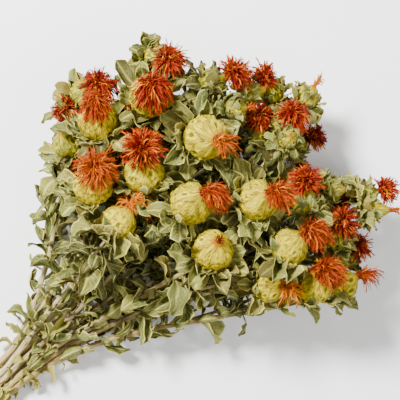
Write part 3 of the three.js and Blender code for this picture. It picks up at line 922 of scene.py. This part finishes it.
# Fine stems: ridged, with a knot at each node, on a line that wavers a little. Heights of knots,
# lumps and ridges are in radii, and lengths in millimetres.

RING_SPACING = 3.2
FEWEST_STEPS = 8
MAIN_COLUMNS = 12
TWIG_COLUMNS = 8
SKIN_SHARE = 0.84
WAVER = 0.55
WAVER_LENGTHS = (17, 23)
WAVER_START = 20
KNOT_HEIGHT = 0.16
KNOT_LENGTH = 2.2
LUMP_HEIGHT = 0.07
LUMP_LENGTHS = (4.1, 6.7)
RIDGES = 4
RIDGE_HEIGHT = 0.075
TWIST = 0.035
FACET_HEIGHT = 0.05
FACET_LENGTH = 7
PITH_SHARE = 0.55
GREEN_LENGTH = 250
STEEP = 0.9


def square_axes(line):
    """Two ways square to a line of points, which turn as little as they can along it."""
    tangents = units(np.gradient(line, axis=0))
    sides = [unit(np.cross(UP if abs(tangents[0][2]) < STEEP else FORWARD, tangents[0]))]
    for tangent in tangents[1:]:
        sides.append(unit(sides[-1] - tangent * (sides[-1] @ tangent)))
    sides = np.array(sides)
    return sides[:, None], np.cross(tangents, sides)[:, None]


def add_stem_skin(skin, stem):
    curve = stem.curve
    steps = max(FEWEST_STEPS, math.ceil(curve.length / RING_SPACING))
    straight = np.arange(-stem.cut, -0.5, RING_SPACING) / curve.length
    share = np.concatenate([straight, np.linspace(0, 1, steps + 1)])
    length = share * curve.length
    phase = uniform(*PHASE, 4)
    from_ends = np.minimum(length + stem.cut, curve.length - length)
    waver = WAVER * np.minimum(1, from_ends / WAVER_START)
    line = stem_line(curve, share) + stacked(
        0, *(waver * np.sin(length / WAVER_LENGTHS[k] + phase[k]) for k in range(2)))
    knots = sum(KNOT_HEIGHT * np.exp(-((length - node * curve.length) / KNOT_LENGTH) ** 2)
                for node in stem.nodes)
    lumps = LUMP_HEIGHT * np.sin(length / LUMP_LENGTHS[0] + phase[0]) \
        * np.sin(length / LUMP_LENGTHS[1] + phase[3])
    radius = SKIN_SHARE * lerp(*stem.radii, np.maximum(share, 0)) * (1 + knots + lumps)
    columns = MAIN_COLUMNS if stem.cut else TWIG_COLUMNS
    turn = np.arange(columns) * TURN / columns
    length = length[:, None]
    ridges = RIDGE_HEIGHT * np.cos(RIDGES * turn + length * TWIST + phase[2]) \
        + FACET_HEIGHT * np.sin(length / FACET_LENGTH + turn + phase[3])
    rings = line[:, None] + (radius[:, None] * (1 + ridges))[..., None] \
        * around(*square_axes(line), turn)
    paint = stacked(uniform(0, 1), ridges, 0, np.clip(length / GREEN_LENGTH, -1, 1))
    grain = stacked(np.cos(turn), np.sin(turn), length * 0.03 + uniform(*GRAIN_SHIFT))
    skin.add(rings, paint, grain, grid_quads(len(line), columns, closed=True), kind=WOOD)
    for row, order in ((0, -1), (-1, 1)):
        ring, middle = rings[row], rings[row].mean(0)
        end = np.vstack([ring, lerp(middle, ring, PITH_SHARE), middle])
        pith = np.where(np.arange(len(end)) < columns, 0.2, 1)
        band = grid_quads(2, columns, closed=True)
        tip = fan_triangles(columns + np.arange(columns), 2 * columns)
        skin.add(end, stacked(0.5, pith, 0, 1), end * 0.3, band[:, ::order], tip[:, ::order],
                 kind=WOOD)


# Fine globes: overlapping scales, most of them with an oval dimple near the tip

# Grid, rows of scales (an angle from the base in degrees, and how many), half a scale's width
# in radians, and tints
BIG_LOOK = Thing(grid=(36, 58), scales=((60, 5), (84, 6), (108, 6), (131, 4)), reach=0.4,
                 tints=(0, 0.6))
SMALL_LOOK = Thing(grid=(24, 38), scales=((64, 4), (94, 5), (124, 4)), reach=0.46,
                   tints=(0.5, 1))
SCALE_SHIFT = (-6, 6)
SCALE_TURN_SHIFT = (-0.2, 0.2)

# Angles from the base, at the first ring, where the neck begins, and at the mouth
FIRST_RING, SHOULDER, MOUTH = np.radians([16, 112, 168])
MOUTH_RADIUS = 0.235
FLAT_BASE = -0.9
NECK_PULL = 0.6
SHOULDER_PULL = np.array([0.93, -0.37]) / 3
MOUTH_PULL = np.array([0.75, -0.3]) / 3

# Where relief fades out, towards the mouth and the base: an angle and a span in radians
FADE_OUT = (math.radians(160), 0.3)
FADE_IN = (0.5, 0.4)
CREASE_WIDTH = 0.09
DIMPLE_DEPTHS = (0, 0.5, 1)
DEPTH_SHARES = (0.15, 0.35, 0.5)
DIMPLE_SIZE = (0.8, 1.5)
# A dimple's half width and half length, in half widths of its scale
DIMPLE_OVAL = (0.3, 0.44)


def globe_profile(neck, angle):
    """Height along the axis and distance from it, in radii, at angles from the base."""
    pull = lerp(NECK_HEIGHT, neck, NECK_PULL)
    start = np.array([-math.cos(SHOULDER), math.sin(SHOULDER)])
    end = np.array([neck, MOUTH_RADIUS])
    controls = np.array([start, start + pull * SHOULDER_PULL, end - pull * MOUTH_PULL, end])
    upper = cubic_weights(np.clip((angle - SHOULDER) / (MOUTH - SHOULDER), 0, 1)) @ controls
    lower = stacked(np.maximum(-np.cos(angle), FLAT_BASE + 0.05 * np.sin(angle)), np.sin(angle))
    return np.where(angle[..., None] > SHOULDER, upper, lower)


def scale_centres(rows):
    turn = uniform(*PHASE)
    return np.array([(math.radians(angle + uniform(*SCALE_SHIFT)),
                      turn + (k + row / 2 + uniform(*SCALE_TURN_SHIFT)) * TURN / count)
                     for row, (angle, count) in enumerate(rows) for k in range(count)])


def globe_relief(look, angle, turn):
    """Relief in radii over a grid of angles, a mask of the dimples and of their lips, which the
    material lightens as painted highlight, and a mask of the creases.
    """
    centres = scale_centres(look.scales)
    across = (turn[..., None] - centres[:, 1] + math.pi) % TURN - math.pi
    beside = across * np.sin(centres[:, 0])
    beyond = angle[..., None] - centres[:, 0]
    far = np.hypot(beside, (beyond + 0.1) / 1.25) / look.reach
    order = np.sort(far, axis=-1)
    crease = np.exp(-((order[..., 1] - order[..., 0]) / CREASE_WIDTH) ** 2)
    tilt = np.take_along_axis(beyond, np.argmin(far, axis=-1)[..., None], -1)[..., 0]
    depth = choice(DIMPLE_DEPTHS, len(centres), p=DEPTH_SHARES)
    dent = uniform(*DIMPLE_SIZE) * look.reach
    oval = np.hypot(beside / DIMPLE_OVAL[0], beyond / DIMPLE_OVAL[1]) / dent
    dimple = (depth * np.exp(-(oval / 0.85) ** 4)).max(-1)
    lip = (depth * np.exp(-((oval - 1.2) / 0.3) ** 2)).max(-1)
    keep = np.clip((FADE_OUT[0] - angle) / FADE_OUT[1], 0, 1) \
        * np.clip((angle - FADE_IN[0]) / FADE_IN[1], 0, 1)
    phase = uniform(*PHASE, 4)
    scales = 0.03 * np.clip(tilt / 0.3, -1, 1) - 0.03 * crease - 0.065 * dimple + 0.04 * lip
    folds = 0.02 * np.sin(5 * turn + 2 * np.sin(3 * angle + phase[3])) \
        + 0.011 * np.sin(13 * turn + 2 * np.sin(2 * angle + phase[2]))
    lumps = 0.03 * np.sin(3 * turn + phase[0]) * np.sin(2 * angle + phase[1])
    return keep * (scales + folds) + lumps, 0.5 + 0.5 * (dimple - lip) * keep, crease * keep


def add_globe(skin, flower):
    radius, way = flower.radius, flower.way
    look = BIG_LOOK if radius > BIG_GLOBE else SMALL_LOOK
    rows, columns = look.grid
    angle = np.linspace(FIRST_RING, MOUTH, rows)[:, None]
    turn = (np.arange(columns) * TURN / columns)[None]
    relief, dimple, crease = globe_relief(look, angle, turn)
    # Relief lifts a point outward more than along the axis
    profile = globe_profile(flower.neck, angle) * (1 + relief[..., None] * (0.6, 1))
    points = flower.middle + radius * (profile[..., :1] * way
                                       + profile[..., 1:] * spoke_at(way, turn))
    paint = stacked(uniform(*look.tints), dimple, crease, angle / math.pi)
    grain = stacked(np.cos(turn) * 1.6, np.sin(turn) * 1.6, angle * 0.3 + uniform(*GRAIN_SHIFT))
    skin.add(points, paint, grain, grid_quads(rows, columns, closed=True), kind=GLOBE)
    for row, order, sink in ((0, -1, 0.02), (-1, 1, -0.09)):
        middle = points[row].mean(0) + way * radius * sink
        triangles = fan_triangles(np.arange(columns), columns)[:, ::order]
        skin.add(np.vstack([points[row], middle]), paint[row].mean(0),
                 np.vstack([grain[row], grain[row][0]]), triangles=triangles, kind=GLOBE)


# Fine tufts: florets bend out of the mouth of the globe, and some split into lobes

FLORET_STEPS = 5
FLORET_RADIUS = 0.42
FLORET_GIRTH = (0.75, 1.3)
FEWEST_FLORETS = 4
STRAY_FLORETS = 0.04
SPREAD_LIMIT = math.cos(math.radians(118))
MOUTH_SPREAD = 0.08
KNEE = (0.35, 0.65)
KNEE_SPREAD = 0.05
TIP_SPREAD = 0.08
FALL = -0.7 * IMAGE_UP - UP
FALL_SHARE = (0.4, 1.2)
LOWEST_END = 0.8
LOWEST_TIP = 0.6
DARK_RED_AND_SHADE_SPREAD = 0.3
SPLIT_SHARE = 0.3
SPLIT_PLACE = 0.8

LOBES = 3
LOBE_STEPS = 2
LOBE_SHIFT = (-0.2, 0.2)
LOBE_LENGTH = (0.08, 0.17)
LOBE_FLARE = (0.15, 0.7)
LOBE_APART = 0.12
LOWEST_LOBE = 0.5

# How a tuft looks: florets for each millimetre of its reach, how closely they keep to its
# longest side, how far they droop, how dark they are (their own deep red, with painted shade on
# tufts that lie in shadow) and how orange, how unlike in length, and the least share of its
# length that each gets, even beside a shortened spike of the CAD model.
# Each kind of tuft has its own look, by its focus, and some tufts differ from theirs.
KIND_LOOKS = {
    1: dict(dense=32, keen=1, droop=0.18, dark=0.2, orange=0, ragged=0.12, least=0.55),
    2: dict(dense=24, keen=5, droop=0.2, dark=0.15, orange=0.1, ragged=0.18, least=0.55),
    4: dict(dense=5, keen=9, droop=0.25, dark=0.1, orange=0.3, ragged=0.3, least=0.55),
}
LOOKS = {
    1: dict(dark=0.3, droop=0.4), 2: dict(dark=0.75),
    5: dict(dense=30, keen=1.6, droop=0.4, dark=0.2), 6: dict(droop=0.5, dark=0.25),
    7: dict(dark=0.8), 8: dict(dark=0.3), 9: dict(droop=0.25, orange=0.2),
    10: dict(dense=6, keen=0.6, droop=0.7, dark=0, orange=0.9, ragged=0.3, least=1.45),
    14: dict(dense=10, keen=1.2, droop=0.3, dark=0.2, orange=0.35, ragged=0.35, least=0.75),
    15: dict(dark=0.5), 16: dict(dense=20, keen=7, droop=0.45),
    17: dict(dense=3, dark=0, orange=0.6), 18: dict(droop=0.4), 19: dict(dark=0.8),
    21: dict(keen=4, droop=0.3), 22: dict(dense=0.9, dark=0.6, orange=0), 23: dict(dark=0.8),
    25: dict(dark=0.8), 27: dict(keen=4, droop=0.35, dark=0.35),
    28: dict(dense=6, keen=0.5, droop=0.4, dark=0, orange=0.85, ragged=0.35, least=0.95),
    29: dict(dark=0.7), 31: dict(dark=0.3), 33: dict(keen=3, dark=0.6), 34: dict(dark=0.7),
    35: dict(dense=7, keen=2, dark=0.45, ragged=0.35),
}


def look_of(number, brush):
    return Thing(**{**KIND_LOOKS[brush.focus], **LOOKS.get(number, {})})


def add_tubes(skin, lines, radii, tint, along, dark, orange):
    """Three-sided tapered tubes round many lines at once, each with flat ends."""
    count, steps = lines.shape[:2]
    tangents = units(np.gradient(lines, axis=1))
    side = units(np.cross(tangents, np.cross(tangents[:, :1], normal(size=(count, 1, 3)))))
    ways = [way[:, :, None] for way in (side, np.cross(tangents, side))]
    rings = lines[:, :, None] + radii[..., None, None] * around(*ways, np.arange(3) * TURN / 3)
    last = 3 * (steps - 1)
    ends = np.array([[2, 1, 0], [last, last + 1, last + 2]])
    shift = (np.arange(count) * 3 * steps)[:, None, None]
    tint = tint[:, None, None]
    along = along[..., None]
    skin.add(rings, stacked(tint, along, dark[:, None, None], orange),
             stacked(tint * 40, along, 0), grid_quads(steps, 3, closed=True) + shift,
             ends + shift)


def floret_aims(tuft, look):
    """Ways of the florets, with more of them towards the tuft's longest side."""
    brush = tuft.flower.tuft
    count = max(FEWEST_FLORETS, int(look.dense * brush.reach))
    aims = []
    while len(aims) < count:
        aim = unit(normal(size=3))
        if (aim @ tuft.flower.way > SPREAD_LIMIT
                and uniform() < STRAY_FLORETS + lean_of(aim, brush, look.keen)):
            aims.append(aim)
    return np.array(aims)


def floret_lines(tuft, look, aims):
    """Points along each floret, from the mouth by a knee to a drooping tip."""
    flower, brush, way = tuft.flower, tuft.flower.tuft, tuft.flower.way
    count = len(aims)
    ragged = uniform(1 - 1.6 * look.ragged, 1 + 0.6 * look.ragged, count)
    length = lean_length(aims, brush) * ragged
    length *= np.maximum(look.least, tuft.kept[np.argmax(aims @ tuft.aims.T, axis=1)])
    ends = tuft.middle + aims * length[:, None] * (1.06 - 0.3 * look.droop)
    ends[:, 2] = np.maximum(ends[:, 2], LOWEST_END)
    starts = neck_of(flower) - way * 0.6 + normal(size=(count, 3)) * flower.radius * MOUTH_SPREAD
    spans = np.linalg.norm(ends - starts, axis=1)[:, None]
    knees = starts + way * spans * uniform(*KNEE, (count, 1)) \
        + normal(size=(count, 3)) * KNEE_SPREAD * spans
    tips = ends + (aims * 0.5 + normal(size=(count, 3))) * spans * TIP_SPREAD \
        + FALL * spans * look.droop * uniform(*FALL_SHARE, (count, 1))
    tips[:, 2] = np.maximum(tips[:, 2], LOWEST_TIP)
    return cubic_weights(np.linspace(0, 1, FLORET_STEPS)) @ np.stack([starts, knees, ends, tips], 1)


def add_lobes(skin, lines, girth, reach, tint, dark, orange):
    """Lobes that flare from the ends of florets."""
    roots = lines[:, -1:]
    onward = units(lines[:, -1] - lines[:, -2])
    side = units(np.cross(onward, normal(size=onward.shape)))
    upright = np.cross(onward, side)
    u = np.linspace(0, 1, LOBE_STEPS)
    width = girth * (0.66 * (1 - u) ** 0.8 + 0.1)
    for k in range(LOBES):
        turn = (k + uniform(*LOBE_SHIFT, len(lines))) * TURN / LOBES
        out = around(side, upright, turn)[:, None]
        size = uniform(*LOBE_LENGTH, (len(lines), 1, 1)) * reach
        flare = uniform(*LOBE_FLARE, (len(lines), 1, 1))
        lobes = roots + size * (onward[:, None] * u[:, None] + out * flare * u[:, None] ** 1.6) \
            + out * LOBE_APART
        lobes[..., 2] = np.maximum(lobes[..., 2], LOWEST_LOBE)
        add_tubes(skin, lobes, width, tint, lerp(SPLIT_PLACE, 1, u)[None], dark, orange)


def add_tuft(skin, tuft, look):
    aims = floret_aims(tuft, look)
    lines = floret_lines(tuft, look, aims)
    count = len(aims)
    tint = uniform(0, 1, count)
    # Each floret's darkness: deep red of its own, with painted shade
    dark = np.clip(look.dark + normal(size=count) * DARK_RED_AND_SHADE_SPREAD, 0, 1)
    split = uniform(size=count) < SPLIT_SHARE
    girth = uniform(*FLORET_GIRTH, (count, 1)) * FLORET_RADIUS
    t = np.linspace(0, 1, FLORET_STEPS)
    taper = np.where(split[:, None], 0.8 + 0.4 * t, (1 - t) ** 0.7 + 0.14)
    along = t * np.where(split, SPLIT_PLACE, 1)[:, None]
    add_tubes(skin, lines, girth * taper, tint, along, dark, look.orange)
    add_lobes(skin, lines[split], girth[split], tuft.flower.tuft.reach, tint[split], dark[split],
              look.orange)


# Materials

SPECULAR = 0.12


class Shader:
    """A few short calls that build one material's nodes. Colours are 8-bit sRGB."""

    def __init__(self, name, roughness):
        self.material = bpy.data.materials.new(name)
        self.material.use_nodes = True
        self.tree = self.material.node_tree
        self.body = self.tree.nodes["Principled BSDF"]
        self.body.inputs["Roughness"].default_value = roughness
        self.body.inputs["Specular IOR Level"].default_value = SPECULAR

    def node(self, kind, values=(), **settings):
        node = self.tree.nodes.new("ShaderNode" + kind)
        for key, value in settings.items():
            setattr(node, key, value)
        for key, value in dict(values).items():
            if isinstance(value, bpy.types.NodeSocket):
                self.tree.links.new(value, node.inputs[key])
            else:
                node.inputs[key].default_value = value
        return node

    def math(self, operation, *values):
        return self.node("Math", enumerate(values), operation=operation).outputs[0]

    def times(self, first, second):
        return self.math("MULTIPLY", first, second)

    def masks(self):
        paint = self.node("Attribute", attribute_name="paint").outputs
        return [*self.node("SeparateColor", {0: paint["Color"]}).outputs, paint["Alpha"]]

    def noise(self, scale, detail):
        grain = self.node("Attribute", attribute_name="grain").outputs["Vector"]
        values = {"Vector": grain, "Scale": scale, "Detail": detail}
        return self.node("TexNoise", values).outputs["Fac"]

    def ramp(self, factor, *stops):
        node = self.node("ValToRGB", {0: factor})
        elements = node.color_ramp.elements
        while len(elements) < len(stops):
            elements.new(0.5)
        for element, (place, *colour) in zip(elements, stops):
            element.position = place
            element.color = linear(*colour)
        return node.outputs["Color"]

    def fade(self, value, low, high, start, end):
        """From start to end as a value goes from low to high."""
        values = {"Value": value, "From Min": low, "From Max": high, "To Min": start, "To Max": end}
        return self.node("MapRange", values, interpolation_type="SMOOTHSTEP").outputs[0]

    def mix(self, factor, first, second):
        return self.node("Mix", {0: factor, 6: first, 7: second}, data_type="RGBA").outputs[2]

    def coats(self, colour, *coats):
        """A colour under coats, each with its share, red, green and blue."""
        for share, *coat in coats:
            colour = self.mix(share, colour, linear(*coat))
        return colour

    def finish(self, colour, bump=None, distance=0.0, strength=0.0):
        self.tree.links.new(colour, self.body.inputs["Base Color"])
        if bump is not None:
            node = self.node("Bump", {"Height": bump, "Distance": distance, "Strength": strength})
            self.tree.links.new(node.outputs[0], self.body.inputs["Normal"])
        return self.material


def linear(red, green, blue):
    return tuple(((c / 255 + 0.055) / 1.055) ** 2.4 for c in (red, green, blue)) + (1.0,)


def foliage_material():
    shader = Shader("dry_foliage", 0.7)
    fade, times = shader.fade, shader.times
    tint, across, along, dry = shader.masks()
    colour = shader.ramp(tint, (0, 32, 36, 10), (0.2, 62, 74, 28), (0.5, 104, 116, 50),
                         (0.7, 98, 118, 68), (0.86, 146, 142, 62), (1, 106, 80, 28))
    patches, mottle = shader.noise(1.3, 2), shader.noise(8, 4)
    slant = shader.math("SUBTRACT", times(along, 7), times(across, 3))
    stripes = shader.math("SINE", times(shader.math("ADD", slant, times(mottle, 0.5)), TURN))
    veins = shader.math("MAXIMUM", fade(across, 0.02, 0.22, 1, 0),
                        times(fade(stripes, 0.8, 1, 0, 1), 0.5))
    colour = shader.coats(
        colour,
        (fade(patches, 0.4, 0.7, 0, 0.5), 152, 160, 102),
        (fade(mottle, 0.43, 0.68, 0, 0.85), 50, 46, 12),
        (times(veins, 0.65), 204, 198, 108),
        (fade(across, 0.84, 1, 0, 0.9), 208, 194, 98),
        (times(dry, 0.6), 166, 152, 68),
        # Painted shade: the last coat darkens the blades with the darkest tints, those in shaded
        # places and the dark shreds
        (fade(tint, 0, 0.15, 0.6, 0), 46, 40, 12))
    return shader.finish(colour, shader.math("ADD", times(veins, 0.8), mottle), 0.0005, 0.9)


def globe_material():
    shader = Shader("dry_globe", 0.6)
    fade = shader.fade
    tint, dimple, crease, along = shader.masks()
    colour = shader.ramp(tint, (0, 170, 156, 20), (0.3, 198, 174, 18), (0.6, 152, 140, 28),
                         (0.8, 124, 126, 40), (1, 106, 118, 50))
    streaks, fine, browned = shader.noise(5, 5), shader.noise(14, 3), shader.noise(2.4, 4)
    off_line = shader.math("ABSOLUTE", shader.math("SUBTRACT", shader.noise(4.2, 3), 0.5))
    lines = fade(off_line, 0, 0.016, 0.7, 0)
    colour = shader.coats(
        colour,
        (fade(streaks, 0.42, 0.62, 0, 0.7), 226, 204, 10),
        (fade(fine, 0.48, 0.66, 0, 0.8), 98, 86, 22),
        (fade(browned, 0.52, 0.66, 0, 0.6), 114, 92, 22),
        (fade(along, 0.2, 0.5, 0.65, 0), 98, 104, 36),
        (fade(dimple, 0.5, 0.85, 0, 0.9), 86, 92, 8),
        # Painted highlight on the raised lips round the dimples
        (fade(dimple, 0.1, 0.45, 0.5, 0), 236, 216, 40),
        (lines, 84, 58, 4),
        (shader.times(crease, 0.85), 76, 62, 2),
        (fade(along, 0.84, 0.93, 0, 0.7), 170, 90, 14))
    height = shader.math("SUBTRACT", shader.math("ADD", streaks, fine), lines)
    return shader.finish(colour, height, 0.0006, 0.9)


def wood_material():
    shader = Shader("dry_stem", 0.7)
    tint, pith, _, along = shader.masks()
    colour = shader.ramp(tint, (0, 176, 156, 108), (0.35, 214, 198, 152), (0.7, 190, 174, 120),
                         (1, 164, 138, 84))
    streaks = shader.noise(3, 5)
    colour = shader.coats(
        colour,
        (shader.fade(streaks, 0.42, 0.66, 0, 0.75), 84, 64, 32),
        (shader.fade(along, 0.3, 1, 0, 0.5), 124, 118, 56),
        (shader.fade(pith, 0.3, 0.9, 0, 0.9), 212, 196, 146))
    return shader.finish(colour, streaks, 0.0005, 0.9)


def floret_material():
    shader = Shader("dry_floret", 0.7)
    fade = shader.fade
    tint, along, dark, orange = shader.masks()
    # Both ramps darken towards the floret's base, partly its own deep red and partly painted shade
    # inside the tuft; the dark mask, which carries painted shade on tufts in shadow, mixes them
    bright = shader.ramp(along, (0, 60, 0, 0), (0.4, 106, 2, 0), (0.72, 142, 20, 0),
                         (1, 182, 66, 6))
    dark_red_and_shade_colour = shader.ramp(along, (0, 40, 0, 0), (0.5, 74, 2, 0), (1, 108, 12, 2))
    fibre = shader.noise(2.2, 3)
    colour = shader.coats(
        shader.mix(dark, bright, dark_red_and_shade_colour),
        (fade(tint, 0.55, 0.75, 0, 0.45), 190, 84, 6),
        # Painted highlights: the palest tints turn a share of the florets pale orange
        (fade(tint, 0.86, 1, 0, 0.9), 222, 134, 26),
        (fade(tint, 0, 0.42, 0.95, 0), 76, 2, 0),
        (orange, 206, 112, 4),
        (fade(fibre, 0.5, 0.75, 0, 0.35), 76, 8, 0))
    return shader.finish(colour, fibre, 0.0002, 0.5)


# Pieces

plant = [foliage_material(), globe_material(), wood_material()]
florets = [floret_material()]


def hand_in(skin, name, kind, materials):
    piece = skin.piece(f"{name}_{kind}", materials)
    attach(piece, "root")
    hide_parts(name)


for spray in sprays:
    skin = Skin()
    for stem in spray.stems:
        add_stem_skin(skin, stem)
        for blade in stem.leaves:
            add_blade(skin, blade, **LEAF_SHAPE, dry=uniform(*LEAF_DRY))
    for blade in spray.scraps:
        add_blade(skin, blade, **LEAF_SHAPE, dry=uniform(*SCRAP_DRY))
    for flower in spray.heads:
        add_globe(skin, flower)
        for blade in flower.bracts:
            add_blade(skin, blade, **BRACT_SHAPE, dry=uniform(*BRACT_DRY))
    hand_in(skin, f"spray_{spray.name}", "grown", plant)

for number, tuft in enumerate(tufts, 1):
    skin = Skin()
    add_tuft(skin, tuft, look_of(number, tuft.flower.tuft))
    hand_in(skin, f"tuft_{number:02}", "florets", florets)

# Floor, lights and camera, in metres

FLOOR_HALF = 2
WORLD_STRENGTH = 0.5

floor_mesh = bpy.data.meshes.new("floor")
floor_mesh.from_pydata([(x * FLOOR_HALF, y * FLOOR_HALF, 0)
                        for x, y in ((-1, -1), (1, -1), (1, 1), (-1, 1))], [], [range(4)])
floor = linked("floor", floor_mesh)
floor_shader = Shader("pale_floor", 0.9)
floor_tone = floor_shader.ramp(floor_shader.noise(30, 2), (0, 250, 250, 250), (1, 252, 252, 252))
floor_mesh.materials.append(floor_shader.finish(floor_tone))

world = bpy.data.worlds.new("studio")
world.use_nodes = True
world.node_tree.nodes["Background"].inputs["Color"].default_value = (1.0, 1.0, 1.0, 1.0)
world.node_tree.nodes["Background"].inputs["Strength"].default_value = WORLD_STRENGTH
bpy.context.scene.world = world

CAMERA_PLACE = np.array([0.0907, 0.0024, 1.1])
HALF_FIELD = 0.17
CAMERA_CLIP = (0.05, 20)
LIGHT_TARGET = np.array([0.05, 0, 0.05])


def placed(thing, place, right, up):
    thing.matrix_world = Matrix([*zip(right, up, np.cross(right, up), place), (0, 0, 0, 1)])


def area_light(name, place, size, power):
    data = bpy.data.lights.new(name, "AREA")
    data.shape = "DISK"
    data.size = size
    data.energy = power
    back = unit(place - LIGHT_TARGET)
    right = unit(np.cross(IMAGE_UP, back))
    placed(linked(name, data), place, right, np.cross(back, right))


area_light("key_light", IMAGE_UP * 0.75 - IMAGE_RIGHT * 0.6 + UP * 1.3, 0.42, 98)
area_light("fill_light", IMAGE_RIGHT * 0.9 - IMAGE_UP * 0.3 + UP * 1.2, 1.0, 12)

camera_data = bpy.data.cameras.new("camera")
camera_data.angle = 2 * math.atan(HALF_FIELD / CAMERA_PLACE[2])
camera_data.clip_start, camera_data.clip_end = CAMERA_CLIP
camera = linked("camera", camera_data)
placed(camera, CAMERA_PLACE, IMAGE_RIGHT, IMAGE_UP)
bpy.context.scene.camera = camera
